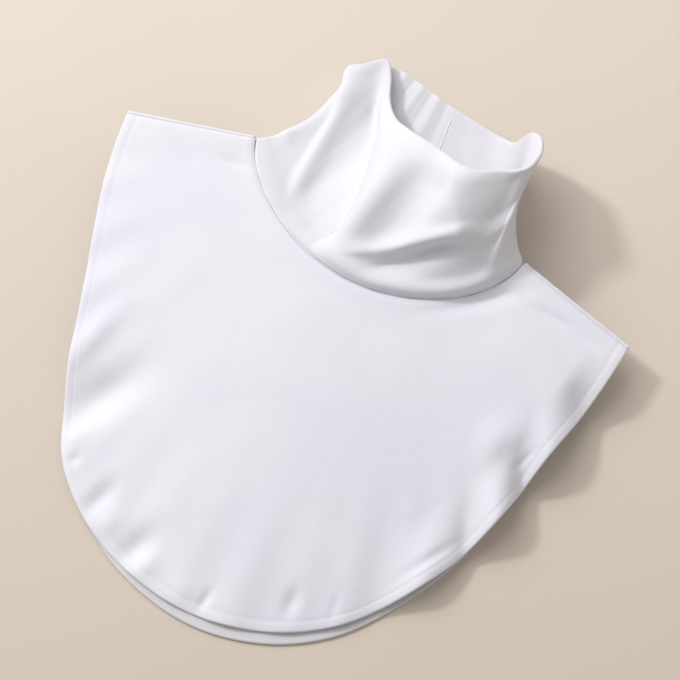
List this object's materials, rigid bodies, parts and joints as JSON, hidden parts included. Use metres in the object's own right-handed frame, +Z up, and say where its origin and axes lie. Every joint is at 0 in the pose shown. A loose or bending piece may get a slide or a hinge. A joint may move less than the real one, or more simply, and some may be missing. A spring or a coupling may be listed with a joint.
{
  "type": "turtleneck dickey",
  "caption": "White jersey bib front and back with rounded hems and a soft turtleneck collar, lying flat with the collar open.",
  "frame": {"origin": "under the middle of the whole piece, on the table that it lies on", "axes": "+X towards the wearer's left shoulder, +Y towards the head, +Z up from the table, out through the front"},
  "size_m": [0.3816, 0.412, 0.0776],
  "materials": {
    "back_jersey": "white cotton jersey, matte, fine vertical ribs of a plain knit",
    "front_jersey": "white cotton jersey, matte, fine vertical ribs of a plain knit",
    "hem_jersey": "turned hem, two layers of the same jersey, stitched",
    "seam_jersey": "closed seam with its allowance rolled under",
    "collar_jersey": "white jersey folded double, matte"
  },
  "bodies": {
    "root": {"back_panel": "back_jersey", "back_hem": "hem_jersey", "front_panel": "front_jersey", "front_hem": "hem_jersey", "shoulder_seam_left": "seam_jersey", "shoulder_seam_right": "seam_jersey", "neck_seam": "seam_jersey", "collar": "collar_jersey"}
  },
  "joints": []
}
